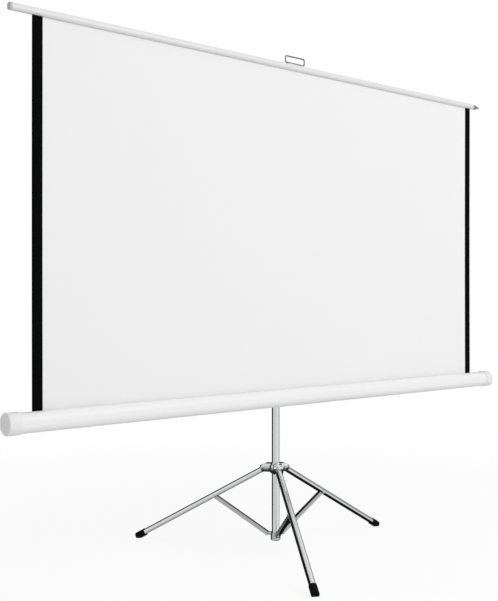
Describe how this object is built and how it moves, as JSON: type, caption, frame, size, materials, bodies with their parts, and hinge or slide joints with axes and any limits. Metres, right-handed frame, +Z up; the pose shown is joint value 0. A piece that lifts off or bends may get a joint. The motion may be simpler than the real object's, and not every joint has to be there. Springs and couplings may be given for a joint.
{
  "type": "floor-standing tripod projection screen",
  "caption": "Roll-up white projection screen with black side borders, drawn up from a slim white case by a top bar and mast, on a chrome pole with a folding braced tripod.",
  "frame": {"origin": "pole axis on the floor, midway along the case and between the feet", "axes": "+X along the screen to the viewer's right, -Y the way the picture faces, +Z up"},
  "size_m": [2.006, 0.8678, 1.575],
  "materials": {
    "chrome": "bright plated tube",
    "polished_metal": "polished casting",
    "steel": "plated",
    "grey_steel": "pressed and plated",
    "white_paint": "smooth white coating",
    "white_plastic": "smooth moulding",
    "grey_plastic": "matt moulding",
    "black_plastic": "matt moulding",
    "rubber": "matt",
    "roller_metal": "mill finish",
    "screen_cloth": "matt white with black side borders"
  },
  "bodies": {
    "stand": {"pole_tube": "chrome", "foot_collar": "grey_steel", "collar_rivets": "steel", "mast_clamp": "black_plastic"},
    "mast_knob": {"mast_knob": "black_plastic"},
    "hub": {"hub": "polished_metal", "hub_rivets": "steel"},
    "brace_1": {"brace_1": "grey_steel"},
    "leg_1": {"leg_1_channel": "chrome", "leg_1_rivet": "steel", "leg_1_foot": "rubber"},
    "brace_2": {"brace_2": "grey_steel"},
    "leg_2": {"leg_2_channel": "chrome", "leg_2_rivet": "steel", "leg_2_foot": "rubber"},
    "brace_3": {"brace_3": "grey_steel"},
    "leg_3": {"leg_3_channel": "chrome", "leg_3_rivet": "steel", "leg_3_foot": "rubber"},
    "carriage": {"carriage": "black_plastic", "carriage_liner": "black_plastic", "swivel_bolt": "steel"},
    "carriage_knob": {"carriage_knob": "black_plastic"},
    "case": {"case_tube": "white_paint", "case_cap_left": "white_plastic", "case_cap_right": "white_plastic", "case_saddle": "white_plastic", "screen_fabric": "screen_cloth"},
    "roller": {"roller_tube": "roller_metal", "roller_plug_left": "black_plastic", "roller_plug_right": "black_plastic", "spring_cartridge": "roller_metal", "fabric_roll": "screen_cloth"},
    "bar": {"bar_tube": "white_paint", "bar_cap_left": "grey_plastic", "bar_cap_right": "grey_plastic", "hem_rod": "steel", "handle_plate": "grey_steel", "plate_screws": "steel", "pull_handle": "steel"},
    "mast": {"mast_tube": "chrome", "mast_bush": "black_plastic", "mast_hook": "grey_steel"}
  },
  "joints": [
    {"name": "leg_fold", "type": "hinge", "parent": "stand", "child": "brace_1", "pos_m": [-0.015, 0.02598, 0.052], "axis": [0.866, 0.5, 0], "range_deg": [0, 49.5]},
    {"name": "leg_1_swing", "type": "hinge", "parent": "brace_1", "child": "leg_1", "pos_m": [-0.10535, 0.18247, 0.159], "axis": [-0.866, -0.5, 0], "range_deg": [0, 99]},
    {"name": "brace_2_fold", "type": "hinge", "parent": "stand", "child": "brace_2", "pos_m": [-0.015, -0.02598, 0.052], "axis": [-0.866, 0.5, 0], "range_deg": [0, 49.5]},
    {"name": "leg_2_swing", "type": "hinge", "parent": "brace_2", "child": "leg_2", "pos_m": [-0.10535, -0.18247, 0.159], "axis": [0.866, -0.5, 0], "range_deg": [0, 99]},
    {"name": "brace_3_fold", "type": "hinge", "parent": "stand", "child": "brace_3", "pos_m": [0.03, 0, 0.052], "axis": [0, -1, 0], "range_deg": [0, 49.5]},
    {"name": "leg_3_swing", "type": "hinge", "parent": "brace_3", "child": "leg_3", "pos_m": [0.2107, 0, 0.159], "axis": [0, 1, 0], "range_deg": [0, 99]},
    {"name": "hub_level", "type": "hinge", "parent": "leg_1", "child": "hub", "pos_m": [-0.015, 0.02598, 0.266], "axis": [0.866, 0.5, 0], "range_deg": [0, 49.5]},
    {"name": "case_height", "type": "slide", "parent": "stand", "child": "carriage", "axis": [0, 0, 1], "range_m": [0, 0.1]},
    {"name": "case_swivel", "type": "hinge", "parent": "carriage", "child": "case", "pos_m": [0, -0.06, 0.504], "axis": [0, 1, 0], "range_deg": [0, 90]},
    {"name": "mast_slide", "type": "slide", "parent": "carriage", "child": "mast", "axis": [0, 0, -1], "range_m": [0, 0.6], "deforming": ["screen_fabric"]},
    {"name": "bar_lower", "type": "slide", "parent": "case", "child": "bar", "axis": [0, 0, -1], "range_m": [0, 0.6], "deforming": ["screen_fabric"]},
    {"name": "roller_turn", "type": "hinge", "parent": "case", "child": "roller", "pos_m": [0, -0.108, 0.504], "axis": [-1, 0, 0], "range_deg": [0, 1980]},
    {"name": "carriage_knob_turn", "type": "hinge", "parent": "carriage", "child": "carriage_knob", "pos_m": [0, 0.03, 0.504], "axis": [0, 1, 0], "range_deg": [0, 360]},
    {"name": "mast_knob_turn", "type": "hinge", "parent": "stand", "child": "mast_knob", "pos_m": [0, 0.03, 0.865], "axis": [0, 1, 0], "range_deg": [0, 360]}
  ],
  "couplings": [
    {"joint": "leg_1_swing", "follows": "leg_fold", "ratio": 2},
    {"joint": "brace_2_fold", "follows": "leg_fold", "ratio": 1},
    {"joint": "leg_2_swing", "follows": "leg_fold", "ratio": 2},
    {"joint": "brace_3_fold", "follows": "leg_fold", "ratio": 1},
    {"joint": "leg_3_swing", "follows": "leg_fold", "ratio": 2},
    {"joint": "hub_level", "follows": "leg_fold", "ratio": 1},
    {"joint": "bar_lower", "follows": "mast_slide", "ratio": 1},
    {"joint": "roller_turn", "follows": "mast_slide", "rad_per_m": 55.556}
  ]
}
